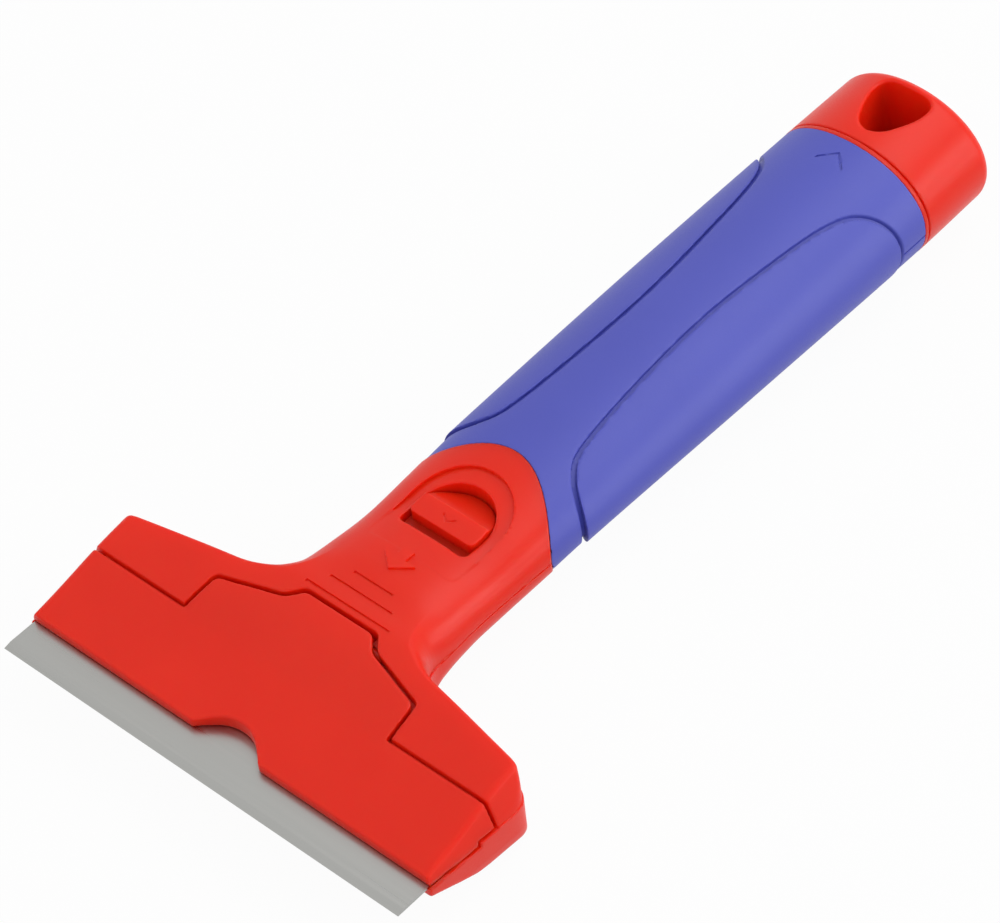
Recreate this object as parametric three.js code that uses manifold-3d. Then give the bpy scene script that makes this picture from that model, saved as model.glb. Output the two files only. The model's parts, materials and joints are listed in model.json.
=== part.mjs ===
// Hand scraper with a replaceable wide blade. A moulded body carries a soft grip, a blade clamp hinged
// behind the blade and worked by a thumb slide, and an end cap that pulls out a tray of spare blades.
// Millimetres, +X along the blade, +Y from the cutting edge to the end cap, +Z up, resting on z = 0.
import * as THREE from "three";
import { mergeVertices } from "three/addons/utils/BufferGeometryUtils.js";
import Module from "manifold-3d";

const wasm = await Module();
wasm.setup();

// Clearances
const fitGap = 0.3; // between pieces that stay together
const runGap = 0.3; // round pieces that slide or turn
const contactGap = 0.1; // blade to its seat and to the clamp
const seamGap = 0.7; // clamp outline to the body
const rearSeamGap = 1.1; // behind the clamp's tongue, which swings back as it opens

// Blade and the spares in the handle
const bladeWidth = 100;
const bladeDepth = 20;
const bladeThickness = 0.5;
const bevelDepth = 1.6;
const edgeThickness = 0.1;
const bladeReach = 8; // blade showing in front of the clamp
const seatHeight = 10.8; // blade seat above the surface that the scraper lies on
const spareCount = 10;
const spareGap = 0.1;
const spareSlack = 0.3;

// Head
const endWall = 1; // body beyond each end of the blade, at the front
const endFlare = 1.2; // and how much more at the rear corners
const partingRise = 1.4; // widest level of the head's ends, above the seat
const endLean = 0.45; // ends lean in above that level, per millimetre of height
const footLean = 0.08; // and below it
const footRound = 4; // lower edge of the ends
const noseDepth = 1.8; // lip of the body under the blade
const noseSetback = 0.3;
const heelSetback = 6; // flat underside starts this far behind the blade
const lipRise = 1.9; // front edge of the clamp above the seat
const ledgeDepth = 4.2; // body ledge behind the blade
const ledgeRise = 1.5;
const shoulderDepth = 9.2; // rear corners of the head behind the ledge
const shoulderRun = 5.4; // shoulders slope back to the neck by this much
const shoulderInner = 24; // half width where the shoulders meet the neck
const cornerRound = 4;
const rearSlope = 1.6; // rise of the underside towards the neck
const clampCrown = 5.3; // rise of the clamp's top from its front edge to the ledge's rear
const crownShare = 0.55; // part of that rise in the front half
const keyDrop = 0.5; // top of the key below the neck

// Clamp outline behind the ledge
const keyWidth = 51;
const keyTaper = 0.7;
const keyLength = 8;
const tongueWidth = 22;
const tongueSlope = 4.1;
const tongueEndWidth = 16.6;
const tongueLength = 3.1;
const clampPlate = 2.4;
const notchWidth = 16; // finger notch in the front edge
const notchInner = 6;
const notchDepth = 4.7;
const notchRound = 2;
const notchLip = 1;

// Clamp hinge and the slide that works it
const pinDiameter = 2.4;
const pinLength = 29.6;
const pivotSetback = 1.8; // hinge axis in front of the tongue's end
const pivotDrop = 3.4; // hinge axis below the top of the tongue
const barrelWall = 1.1;
const tailLength = 8.6; // hinge axis to the bead that the slide moves
const tailDrop = 2.3;
const armWidth = 2.6;
const armThickness = 2;
const beadDiameter = 2.4;
const clampOpening = 12; // degrees
const slideTravel = 2.5;
const hookWidth = 6;
const hookWall = 1.5;
const barWidth = 12;
const barThickness = 2;
const stemWidth = 6.4;
const stemLength = 3;
const stemSetback = 0.6;
const lugThickness = 1.8;
const ribThickness = 1.7;
const springDiameter = 4.4; // over the wire
const springWire = 0.6;
const springTurns = 6;
const springLength = 8.4;

// Thumb pocket in the neck
const pocketSetback = 24.4; // behind the tongue's end
const pocketWidth = 16.6;
const pocketLength = 14.4;
const pocketFloorWall = 1.2;
const slideFrontGap = 2.7; // room in front of the thumb slide
const slideBlock = 6.6; // flat front part of the thumb slide
const slideSink = 0.5; // its top below the neck
const dishDepth = 1.6;
const facetWidth = 23; // flat round the pocket
const facetMargin = 5;
const facetDepth = 0.6;

// Neck and handle: half widths, and tops and feet measured from the blade seat
const rootLength = 10; // neck narrows from the head in this length
const rootRise = 0.8; // its top there is higher
const rootDrop = 1.9; // and its foot lower
const neckHalf = 17;
const neckTop = 9.4;
const neckFoot = 7.4;
const collarHalf = 17.9;
const collarTop = 11.8;
const collarFoot = 7.1;
const handleHalf = 18.6;
const handleTop = 14.4;
const handleFoot = 8.8;
const buttHalf = 18.6;
const buttTop = 16.3;
const buttLift = 0.1; // grip's rear end above the surface that the scraper lies on
const capHalf = 18.3;
const capTop = 17.1;
const collarLength = 24.2; // front of the pocket to the top of the collar's arch
const archDrop = 11.2; // arch's run down to the sides
const archCrown = 8; // half width of its flat crown
const gripThickness = 2;
const ringWidth = 1;
const grooveWidth = 1.1;
const grooveDepth = 0.7;
const padFront = 9.6; // pad outline behind the foot of the arch
const padRear = 5.6; // and in front of the grip's rear end
const padInset = 10.6; // widest reach of the pad in from the handle's side

// Storage bore, tray and end cap
const boreDrop = 2.4; // bore floor below the blade seat
const boreSetback = 9; // behind the front of the pocket
const trayThickness = 0.9;
const trayLip = 1.2;
const trayBlock = 2.5;
const tangLength = 7;
const plugDepth = 11;
const plugWall = 1.2;
const capLength = 20.2;
const capWall = 2.2;
const capRound = 2.5;
const holeWidth = 13.2;
const holeLength = 14.4;
const holeSetback = 3.3; // behind the cap's front face
const holeRound = 3.6;
const holeTip = 5.2; // width at its front
const holeShoulder = 8.6; // from its front to its widest place
const holeRear = 12.8; // width at its rear
const tunnelWall = 1.6;

// Smoothness of curved surfaces
const sectionSides = 32;
const curveSegments = 6;
const roundSides = 16;
const crownSteps = 12;
const plateSteps = 6;
const coilSteps = 8;
const wireSides = 5;
const grooveSteps = 22;
const capSteps = 4;
const ringStep = 8; // along the handle

// Places that follow from the sizes
const headFront = bladeWidth / 2 + endWall;
const headHalf = headFront + endFlare;
const partingHeight = seatHeight + partingRise;
const bladeTop = seatHeight + contactGap + bladeThickness;
const ledgeFront = bladeDepth + fitGap;
const wingRear = bladeDepth + ledgeDepth;
const shoulderRear = wingRear + shoulderDepth;
const headRear = shoulderRear + shoulderRun;
const keyRear = wingRear + keyLength;
const tongueRoot = keyRear + tongueSlope;
const tongueRear = tongueRoot + tongueLength;
const pocketFront = tongueRear + pocketSetback;
const pocketRear = pocketFront + pocketLength;
const archTop = pocketFront + collarLength;
const archFoot = archTop - archDrop;
const boreFront = pocketFront + boreSetback;
const boreHalf = bladeDepth / 2 + 2 * spareSlack;
const boreFloor = seatHeight - boreDrop;
const trayFloor = boreFloor + runGap;
const spareFloor = trayFloor + trayThickness + spareGap;
const stackHeight = spareCount * (bladeThickness + spareGap);
const boreRoof = spareFloor + stackHeight + runGap;
const trayFront = boreFront + runGap;
const spareFront = trayFront + trayLip + spareSlack;
const blockFront = spareFront + bladeWidth + spareSlack;
const plugFront = blockFront + trayBlock + fitGap;
const capFront = plugFront + plugDepth;
const ringRear = capFront - fitGap;
const ringFront = ringRear - ringWidth;
const gripRear = ringFront - fitGap;
const capRear = capFront + capLength;
const pocketFloor = boreRoof + 2 * pocketFloorWall;
const barTop = pocketFloor - pocketFloorWall - runGap;
const farAway = 2 * capRear; // beyond every face, for cutting tools

// Height of the head's top from the clamp's front edge to the neck
const tongueTop = seatHeight + neckTop + rootRise / 2;
const crown = [
  { y: bladeReach, z: seatHeight + lipRise },
  { y: (bladeReach + wingRear) / 2, z: seatHeight + lipRise + crownShare * clampCrown },
  { y: wingRear, z: seatHeight + lipRise + clampCrown },
  { y: keyRear, z: seatHeight + neckTop - keyDrop },
  { y: tongueRear, z: tongueTop },
];
const pivotY = tongueRear - pivotSetback;
const pivotZ = tongueTop - pivotDrop;

// Oval sections from the head to the end of the cap; a higher power is a squarer section
const neckFlare = shoulderInner - neckHalf;
const rootAt = (share) => headRear + share * rootLength;
const stations = [
  {
    y: rootAt(-0.2),
    half: neckHalf + 1.34 * neckFlare,
    top: neckTop + 0.25 * rootRise,
    foot: neckFoot + rootDrop,
    power: 5,
  },
  {
    y: rootAt(0.08),
    half: neckHalf + 0.8 * neckFlare,
    top: neckTop + 0.6 * rootRise,
    foot: neckFoot + 0.85 * rootDrop,
    power: 4,
  },
  {
    y: rootAt(0.34),
    half: neckHalf + 0.43 * neckFlare,
    top: neckTop + 0.9 * rootRise,
    foot: neckFoot + 0.63 * rootDrop,
    power: 3.6,
  },
  {
    y: rootAt(0.8),
    half: neckHalf + 0.14 * neckFlare,
    top: neckTop + rootRise,
    foot: neckFoot + 0.42 * rootDrop,
    power: 3,
  },
  {
    y: tongueRear + (2 / 3) * pocketSetback,
    half: neckHalf + 0.02 * neckFlare,
    top: neckTop + 0.6 * rootRise,
    foot: neckFoot + 0.16 * rootDrop,
    power: 2.7,
  },
  { y: pocketFront, half: neckHalf, top: neckTop, foot: neckFoot, power: 2.6 },
  {
    y: pocketFront + 0.8 * pocketLength,
    half: neckHalf + (collarHalf - neckHalf) / 3,
    top: neckTop + 0.4 * (collarTop - neckTop),
    foot: (neckFoot + collarFoot) / 2,
    power: 2.5,
  },
  { y: archTop, half: collarHalf, top: collarTop, foot: collarFoot, power: 2.2 },
  { y: (archTop + gripRear) / 2, half: handleHalf, top: handleTop, foot: handleFoot, power: 2.1 },
  { y: gripRear, half: buttHalf, top: buttTop, foot: seatHeight - buttLift, power: 2.1 },
  { y: capRear, half: capHalf, top: capTop, foot: seatHeight, power: 2.05 },
];

// Smooth value of one key at y through a row of stations
function through(row, key, y) {
  let k = 0;
  while (k < row.length - 2 && row[k + 1].y < y) k++;
  const pick = (i) => row[THREE.MathUtils.clamp(i, 0, row.length - 1)];
  const [a, b, c, d] = [pick(k - 1), pick(k), pick(k + 1), pick(k + 2)];
  const span = c.y - b.y;
  const t = (y - b.y) / span;
  const slopeB = ((c[key] - a[key]) / (c.y - a.y)) * span;
  const slopeC = ((d[key] - b[key]) / (d.y - b.y)) * span;
  const rise = c[key] - b[key];
  const bendB = 3 * rise - 2 * slopeB - slopeC;
  const bendC = slopeB + slopeC - 2 * rise;
  return b[key] + t * (slopeB + t * (bendB + t * bendC));
}

const crownAt = (y) => through(crown, "z", y);

// Solids

function solid(geometry) {
  const bare = new THREE.BufferGeometry();
  bare.setAttribute("position", geometry.getAttribute("position"));
  bare.setIndex(geometry.getIndex());
  const merged = mergeVertices(bare, 1e-4);
  const vertProperties = merged.getAttribute("position").array;
  const triVerts = new Uint32Array(merged.getIndex().array);
  return new wasm.Manifold(new wasm.Mesh({ numProp: 3, vertProperties, triVerts }));
}

function surface(made) {
  const mesh = made.getMesh();
  const geometry = new THREE.BufferGeometry();
  geometry.setAttribute("position", new THREE.BufferAttribute(mesh.vertProperties, 3));
  geometry.setIndex(new THREE.BufferAttribute(mesh.triVerts, 1));
  geometry.computeVertexNormals();
  return geometry;
}

const alongX = new THREE.Vector3(1, 0, 0);
const alongY = new THREE.Vector3(0, 1, 0);
const alongZ = new THREE.Vector3(0, 0, 1);
const sideFrame = new THREE.Matrix4().makeBasis(alongY, alongZ, alongX);
const frontFrame = new THREE.Matrix4().makeBasis(alongX, alongZ, alongY.clone().negate());

function extruded(outline, from, to) {
  const points = Array.isArray(outline) ? outline.map(([u, v]) => new THREE.Vector2(u, v)) : null;
  const shape = points ? new THREE.Shape(points) : outline;
  const settings = { depth: to - from, bevelEnabled: false, curveSegments };
  return new THREE.ExtrudeGeometry(shape, settings).translate(0, 0, from);
}

// Prisms: an outline in x and y run up z, one in y and z run along x, one in x and z run along y
const plan = (outline, low, high) => solid(extruded(outline, low, high));
const side = (outline, left, right) => solid(extruded(outline, left, right).applyMatrix4(sideFrame));
const front = (outline, near, far) => solid(extruded(outline, -far, -near).applyMatrix4(frontFrame));

function block(x, y, z) {
  const geometry = new THREE.BoxGeometry(x[1] - x[0], y[1] - y[0], z[1] - z[0]);
  return solid(geometry.translate((x[0] + x[1]) / 2, (y[0] + y[1]) / 2, (z[0] + z[1]) / 2));
}

function rod(radius, y, z, left, right) {
  const geometry = new THREE.CylinderGeometry(radius, radius, right - left, roundSides);
  geometry.rotateZ(Math.PI / 2);
  return solid(geometry.translate((left + right) / 2, y, z));
}

// Polygon whose corners are rounded; each point is [u, v, radius]
function rounded(points) {
  const shape = new THREE.Shape();
  const count = points.length;
  points.forEach(([u, v, radius = 0], k) => {
    const corner = new THREE.Vector2(u, v);
    const reach = (other) => {
      const far = new THREE.Vector2(other[0], other[1]);
      const length = Math.min(radius, 0.49 * corner.distanceTo(far));
      return far.sub(corner).setLength(length).add(corner);
    };
    const start = reach(points[(k + count - 1) % count]);
    const end = reach(points[(k + 1) % count]);
    if (k === 0) shape.moveTo(start.x, start.y);
    else shape.lineTo(start.x, start.y);
    if (radius > 0) shape.quadraticCurveTo(u, v, end.x, end.y);
  });
  shape.closePath();
  return shape;
}

// Outline symmetric about x = 0, from the points of its right half, front to rear
const mirrored = (half) => [...half, ...half.map(([x, ...rest]) => [-x, ...rest]).reverse()];

// Outline of a slot with round ends from p to q, in y and z
function slot(p, q, radius) {
  const angle = Math.atan2(q[1] - p[1], q[0] - p[0]);
  const shape = new THREE.Shape();
  shape.absarc(p[0], p[1], radius, angle + Math.PI / 2, angle + 1.5 * Math.PI);
  shape.absarc(q[0], q[1], radius, angle - Math.PI / 2, angle + Math.PI / 2);
  shape.closePath();
  return shape;
}

function tube(rings) {
  const count = rings[0].length;
  const last = rings.length - 1;
  const points = rings.flat();
  const faces = [];
  for (let r = 0; r < last; r++) {
    for (let k = 0; k < count; k++) {
      const a = r * count + k;
      const b = r * count + ((k + 1) % count);
      faces.push(a, a + count, b + count, a, b + count, b);
    }
  }
  for (let k = 1; k < count - 1; k++) {
    faces.push(0, k, k + 1);
    faces.push(last * count, last * count + k + 1, last * count + k);
  }
  const geometry = new THREE.BufferGeometry().setFromPoints(points);
  geometry.setIndex(faces);
  return geometry;
}

// Oval section of the handle at y, its surface moved in by inset
function section(y, inset) {
  const top = seatHeight + through(stations, "top", y);
  const foot = seatHeight - through(stations, "foot", y);
  const half = through(stations, "half", y) - inset;
  const rise = (top - foot) / 2 - inset;
  const bend = 2 / through(stations, "power", y);
  const points = [];
  for (let k = 0; k < sectionSides; k++) {
    const angle = ((k + 0.5) / sectionSides) * 2 * Math.PI;
    const [c, s] = [Math.cos(angle), Math.sin(angle)];
    const x = half * Math.sign(c) * Math.abs(c) ** bend;
    const z = (top + foot) / 2 + rise * Math.sign(s) * Math.abs(s) ** bend;
    points.push(new THREE.Vector3(x, y, z));
  }
  return points;
}

// Handle from one y to another
function handle(from, to, inset) {
  const count = Math.max(1, Math.round((to - from) / ringStep));
  const rings = [];
  for (let k = 0; k <= count; k++) rings.push(section(from + ((to - from) * k) / count, inset));
  return solid(tube(rings));
}

// Head

function headForm() {
  const ends = [
    [headHalf - footLean * partingHeight, 0, footRound],
    [headHalf, partingHeight],
    [headHalf - endLean * partingHeight, 2 * partingHeight],
  ];
  const outline = [
    [headFront, bladeReach],
    [headHalf, shoulderRear, cornerRound],
    [shoulderInner, headRear],
  ];
  const nose = bladeReach + noseSetback;
  const top = [];
  for (let k = 0; k <= crownSteps; k++) {
    const y = headRear + ((bladeReach - headRear) * k) / crownSteps;
    top.push([y, crownAt(y)]);
  }
  const profile = [
    [bladeReach, seatHeight],
    [nose, seatHeight],
    [nose, seatHeight - noseDepth],
    [bladeDepth + heelSetback, 0],
    [shoulderRear, 0],
    [headRear, rearSlope],
    ...top,
  ];
  return side(profile, -headHalf, headHalf)
    .intersect(front(rounded(mirrored(ends)), 0, headRear))
    .intersect(plan(rounded(mirrored(outline)), 0, farAway));
}

// Clamp outline in plan, grown by a gap at its sides and another behind its tongue
function clampOutline(gap, rearGap) {
  return mirrored([
    [headHalf + farAway, bladeReach],
    [headHalf + farAway, wingRear + gap],
    [keyWidth / 2 + gap, wingRear + gap],
    [keyWidth / 2 - keyTaper + gap, keyRear + gap],
    [tongueWidth / 2 + gap, tongueRoot + gap],
    [tongueEndWidth / 2 + gap, tongueRear + rearGap],
  ]);
}

const armInner = hookWidth / 2 + 2 * runGap;
const armOuter = armInner + armWidth;
const bead = [pivotY + tailLength, pivotZ - tailDrop];
const barrelRadius = pinDiameter / 2 + runGap + barrelWall;

function clampSolid(outer) {
  const underside = bladeTop + contactGap;
  const overLedge = seatHeight + ledgeRise + runGap;
  const plateTop = [];
  for (let k = 0; k <= plateSteps; k++) {
    const y = ledgeFront + ((tongueRear - ledgeFront) * k) / plateSteps;
    plateTop.push([y, crownAt(y)]);
  }
  const plateFoot = plateTop.map(([y, z]) => [y, z - clampPlate]).reverse();
  const wedge = block([-farAway, farAway], [0, bladeDepth], [underside, farAway])
    .add(block([-farAway, farAway], [0, wingRear], [overLedge, farAway]));
  const plateRoom = [...plateTop.map(([y]) => [y, farAway]), ...plateFoot];
  const room = side(plateRoom, -keyWidth / 2, keyWidth / 2).add(wedge);
  const notchEdge = [
    [notchWidth / 2 + notchLip, bladeReach - notchLip],
    [notchWidth / 2, bladeReach, notchLip],
    [notchInner / 2, bladeReach + notchDepth, notchRound],
  ];
  const notch = plan(rounded(mirrored(notchEdge)), seatHeight, farAway);
  const shell = outer.intersect(plan(clampOutline(0, 0), 0, farAway)).intersect(room).subtract(notch);
  const barrelHalf = tongueEndWidth / 2;
  const barrel = rod(barrelRadius, pivotY, pivotZ, -barrelHalf, barrelHalf);
  const armRoot = [pivotY, bead[1] + (pivotZ - bead[1]) / 4];
  const arms = side(slot(armRoot, bead, armThickness / 2), -armOuter, armOuter)
    .subtract(block([-armInner, armInner], [pivotY + barrelRadius, farAway], [-farAway, farAway]));
  const beadRod = rod(beadDiameter / 2, bead[0], bead[1], -armOuter, armOuter);
  const bore = rod(pinDiameter / 2 + runGap, pivotY, pivotZ, -farAway, farAway);
  return shell.add(barrel).add(arms).add(beadRod).subtract(bore);
}

// Thumb slide, latch bar and spring

// Where the bead runs in the latch bar as the clamp opens
const turned = THREE.MathUtils.degToRad(clampOpening);
const beadOpen = [
  pivotY + tailLength * Math.cos(turned) - tailDrop * Math.sin(turned) + slideTravel,
  pivotZ - tailLength * Math.sin(turned) - tailDrop * Math.cos(turned),
];
const slotRadius = beadDiameter / 2 + runGap;
const stemFront = pocketFront + slideFrontGap + stemSetback;
const barRear = stemFront + stemLength + hookWall;
const springZ = barTop - barThickness - runGap - springDiameter / 2;
const ribFront = beadOpen[0] + slotRadius + hookWall + runGap;
const springFront = ribFront + ribThickness + fitGap;
const lugFront = springFront + springLength + fitGap;
const cavityFloor = Math.min(springZ - springDiameter / 2, beadOpen[1] - slotRadius - hookWall) - runGap;
const cavityHalf = armOuter + 2 * runGap;

function latchBar() {
  const bar = block([-barWidth / 2, barWidth / 2], [beadOpen[0], barRear], [barTop - barThickness, barTop]);
  const hook = side(slot(bead, beadOpen, slotRadius + hookWall), -hookWidth / 2, hookWidth / 2);
  const lug = block(
    [-hookWidth / 2, hookWidth / 2],
    [lugFront, lugFront + lugThickness],
    [springZ - springDiameter / 2, barTop],
  );
  const run = side(slot(bead, beadOpen, slotRadius), -farAway, farAway);
  const entry = side(slot([bead[0] - tailLength, bead[1]], bead, slotRadius), -farAway, farAway);
  const above = block([-farAway, farAway], [0, farAway], [barTop, farAway]);
  const window = block(
    [-stemWidth / 2 - fitGap, stemWidth / 2 + fitGap],
    [stemFront - fitGap, stemFront + stemLength + fitGap],
    [0, farAway],
  );
  return bar.add(hook).add(lug).subtract(run).subtract(entry).subtract(above).subtract(window);
}

// Arched outline in plan: straight front, straight sides, round rear
function archOutline(half, from, to) {
  const shape = new THREE.Shape();
  const bend = to - Math.min(half, 0.7 * (to - from));
  shape.moveTo(-half, from);
  shape.lineTo(half, from);
  shape.lineTo(half, bend);
  shape.bezierCurveTo(half, (bend + to) / 2, half * 0.6, to, 0, to);
  shape.bezierCurveTo(-half * 0.6, to, -half, (bend + to) / 2, -half, bend);
  shape.closePath();
  return shape;
}

const neckAt = (y) => seatHeight + through(stations, "top", y);
const slideFront = pocketFront + slideFrontGap;
const slideRear = pocketRear - runGap;

function thumbSlide() {
  const base = pocketFloor + runGap;
  const crest = slideFront + slideBlock;
  const dished = neckAt(slideRear) - slideSink - dishDepth;
  const profile = [
    [slideFront, base],
    [slideRear, base],
    [slideRear, dished],
    [(crest + slideRear) / 2, (dished + neckAt(crest) - slideSink - dishDepth) / 2],
    [crest, neckAt(crest) - slideSink],
    [slideFront, neckAt(slideFront) - slideSink],
  ];
  const half = pocketWidth / 2 - runGap;
  const arch = plan(archOutline(half, slideFront, slideRear), 0, farAway);
  const pad = side(profile, -half, half).intersect(arch);
  const stem = block(
    [-stemWidth / 2, stemWidth / 2],
    [stemFront, stemFront + stemLength],
    [barTop - barThickness, base + runGap],
  );
  return pad.add(stem);
}

function springGeometry() {
  const coilRadius = (springDiameter - springWire) / 2;
  const run = springLength - springWire;
  const climb = run / springTurns / (2 * Math.PI * coilRadius);
  const steps = springTurns * coilSteps;
  const centres = [];
  const rings = [];
  for (let k = 0; k <= steps; k++) {
    const turn = (k / coilSteps) * 2 * Math.PI;
    const out = new THREE.Vector3(Math.cos(turn), 0, Math.sin(turn));
    const ahead = new THREE.Vector3(-Math.sin(turn), climb, Math.cos(turn)).normalize();
    const across = new THREE.Vector3().crossVectors(ahead, out);
    const centre = out.clone().multiplyScalar(coilRadius);
    centre.y = springFront + springWire / 2 + (run * k) / steps;
    centre.z += springZ;
    const ring = [];
    for (let n = 0; n < wireSides; n++) {
      const angle = (-n / wireSides) * 2 * Math.PI;
      const point = centre.clone().addScaledVector(out, (Math.cos(angle) * springWire) / 2);
      ring.push(point.addScaledVector(across, (Math.sin(angle) * springWire) / 2));
    }
    centres.push(centre);
    rings.push(ring);
  }
  let nearest = Infinity;
  centres.forEach((a, k) => {
    for (const b of centres.slice(k + coilSteps / 2)) nearest = Math.min(nearest, a.distanceTo(b));
  });
  console.log("return spring, least gap between turns:", (nearest - springWire).toFixed(2), "mm");
  return tube(rings);
}

// Grip and body

const archEdge = handleHalf + gripThickness;

// Plan outline of the grip's length, its front arch moved back by setback
function gripZone(setback, rear) {
  const shape = new THREE.Shape();
  const foot = archFoot + setback;
  const top = archTop + setback;
  shape.moveTo(-archEdge, rear);
  shape.lineTo(-archEdge, foot);
  shape.lineTo(-collarHalf, foot);
  shape.quadraticCurveTo(-archCrown, top, 0, top);
  shape.quadraticCurveTo(archCrown, top, collarHalf, foot);
  shape.lineTo(archEdge, foot);
  shape.lineTo(archEdge, rear);
  shape.closePath();
  return plan(shape, -farAway, farAway);
}

// Plan line that bounds the soft pad on one side of the grip
function padCurve(sign) {
  const from = archFoot + padFront;
  const to = gripRear - padRear;
  const length = to - from;
  const rim = handleHalf + grooveWidth;
  // Distance from the middle, and share of the length
  const across = [
    [rim, 0],
    [handleHalf - 0.55 * padInset, 0.045],
    [handleHalf - 0.9 * padInset, 0.19],
    [handleHalf - padInset, 0.47],
    [handleHalf - 0.86 * padInset, 0.8],
    [handleHalf - 0.55 * padInset, 0.94],
    [rim, 1],
  ];
  return new THREE.SplineCurve(across.map(([x, t]) => new THREE.Vector2(sign * x, from + t * length)));
}

function padGroove(sign) {
  const curve = padCurve(sign);
  const inner = [];
  const outer = [];
  for (let k = 0; k <= grooveSteps; k++) {
    const at = curve.getPoint(k / grooveSteps);
    const along = curve.getTangent(k / grooveSteps);
    const across = new THREE.Vector2(-along.y, along.x).multiplyScalar(grooveWidth / 2);
    inner.push([at.x + across.x, at.y + across.y]);
    outer.push([at.x - across.x, at.y - across.y]);
  }
  return plan([...inner, ...outer.reverse()], -farAway, farAway);
}

function gripSolid(whole) {
  const shell = whole.intersect(gripZone(fitGap, gripRear));
  const core = handle(archFoot - gripThickness, gripRear + ringWidth, gripThickness);
  const below = handle(archFoot - gripThickness, gripRear + ringWidth, grooveDepth);
  const grooves = padGroove(1).add(padGroove(-1)).subtract(below);
  return shell.subtract(core).subtract(grooves);
}

function bodySolid(head, whole) {
  const core = handle(pocketRear, ringRear, gripThickness + fitGap);
  const shell = whole.subtract(gripZone(0, ringFront)).add(core).add(head);
  const rim = seatHeight + bladeThickness; // the blade stands proud of it, so the clamp presses on the blade
  const ledgeTop = seatHeight + ledgeRise;
  const wellFloor = Math.min(cavityFloor, seatHeight - 2 * ledgeRise);
  const clampRoom = block([-farAway, farAway], [0, ledgeFront], [rim, farAway])
    .add(block([-farAway, farAway], [0, wingRear + seamGap], [ledgeTop, farAway]))
    .add(block([-keyWidth / 2 - seamGap, keyWidth / 2 + seamGap], [wingRear, farAway], [wellFloor, farAway]))
    .intersect(plan(clampOutline(seamGap, rearSeamGap), 0, farAway));
  const bladeRoomHalf = bladeWidth / 2 + fitGap;
  const bladeRoom = block([-bladeRoomHalf, bladeRoomHalf], [0, ledgeFront], [seatHeight, rim]);
  const socketHalf = pinLength / 2 + fitGap;
  const socketRadius = pinDiameter / 2 + runGap;
  const socketMouth = block(
    [-socketHalf, socketHalf],
    [keyRear, pivotY],
    [pivotZ - socketRadius, pivotZ + socketRadius],
  );
  const sockets = rod(socketRadius, pivotY, pivotZ, -socketHalf, socketHalf).add(socketMouth);
  const cavity = block(
    [-cavityHalf, cavityHalf],
    [tongueRear, barRear + runGap],
    [cavityFloor, barTop + runGap],
  );
  const rib = block(
    [-cavityHalf, cavityHalf],
    [ribFront, ribFront + ribThickness],
    [cavityFloor, barTop - barThickness - runGap],
  );
  const pocket = plan(archOutline(pocketWidth / 2, pocketFront, pocketRear), pocketFloor, farAway);
  const stemRoom = block(
    [-stemWidth / 2 - runGap, stemWidth / 2 + runGap],
    [stemFront - slideTravel - runGap, stemFront + stemLength + runGap],
    [barTop, farAway],
  );
  const facetFront = pocketFront - 2 * facetMargin;
  const facetRear = pocketRear + facetMargin;
  const facet = side(
    [
      [facetFront, neckAt(facetFront)],
      [facetRear, neckAt(pocketRear) - facetDepth],
      [facetRear, farAway],
      [facetFront, farAway],
    ],
    -facetWidth / 2,
    facetWidth / 2,
  ).intersect(plan(archOutline(facetWidth / 2, facetFront, facetRear), 0, farAway));
  const bore = block([-boreHalf, boreHalf], [boreFront, farAway], [boreFloor, boreRoof]);
  return shell
    .subtract(clampRoom)
    .subtract(bladeRoom)
    .subtract(sockets)
    .subtract(cavity.subtract(rib))
    .subtract(facet)
    .subtract(pocket)
    .subtract(stemRoom)
    .subtract(bore);
}

// End cap, tray and spare blades

function capForm(inset, from, to) {
  const rings = [section(from, inset), section((from + to - capRound) / 2, inset)];
  for (let k = 0; k <= capSteps; k++) {
    const angle = ((k / capSteps) * Math.PI) / 2;
    const y = to - capRound + capRound * Math.sin(angle);
    rings.push(section(y, inset + capRound * (1 - Math.cos(angle))));
  }
  return solid(tube(rings));
}

// Hanging hole: a triangle with round corners, its point towards the grip
function holeOutline(grow) {
  const from = capFront + holeSetback - grow;
  const to = capFront + holeSetback + holeLength + grow;
  const half = holeWidth / 2 + grow;
  return rounded(mirrored([
    [holeTip / 2 + grow, from, holeRound],
    [half, capFront + holeSetback + holeShoulder, holeRound],
    [holeRear / 2 + grow, to, holeRound + grow],
  ]));
}

const plugHalf = boreHalf - fitGap;
const plugFloor = boreFloor + fitGap;
const plugRoof = boreRoof - fitGap;

function endCap() {
  const outer = capForm(0, capFront, capRear);
  const hollow = capForm(capWall, capFront + capWall, capRear - capWall);
  const tunnel = plan(holeOutline(tunnelWall), -farAway, farAway).intersect(outer);
  const hole = plan(holeOutline(0), -farAway, farAway);
  const plug = block([-plugHalf, plugHalf], [plugFront, capFront + capWall], [plugFloor, plugRoof]);
  const socket = block(
    [-plugHalf + plugWall, plugHalf - plugWall],
    [0, capFront + 2 * capWall],
    [plugFloor + plugWall, plugRoof - plugWall],
  );
  return outer.subtract(hollow).add(tunnel).add(plug).subtract(socket.subtract(tunnel)).subtract(hole);
}

function spareTray() {
  const half = boreHalf - runGap;
  const blockRear = blockFront + trayBlock;
  const floor = block([-half, half], [trayFront, blockRear], [trayFloor, trayFloor + trayThickness]);
  const lip = block([-half, half], [trayFront, trayFront + trayLip], [trayFloor, boreRoof - runGap]);
  const tangFloor = plugFloor + plugWall + fitGap;
  const rear = block([-half, half], [blockFront, blockRear], [trayFloor, boreRoof - runGap]);
  const tang = block(
    [-plugHalf + plugWall + fitGap, plugHalf - plugWall - fitGap],
    [blockFront, plugFront + tangLength],
    [tangFloor, plugRoof - plugWall - fitGap],
  );
  return floor.add(lip).add(rear).add(tang);
}

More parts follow.
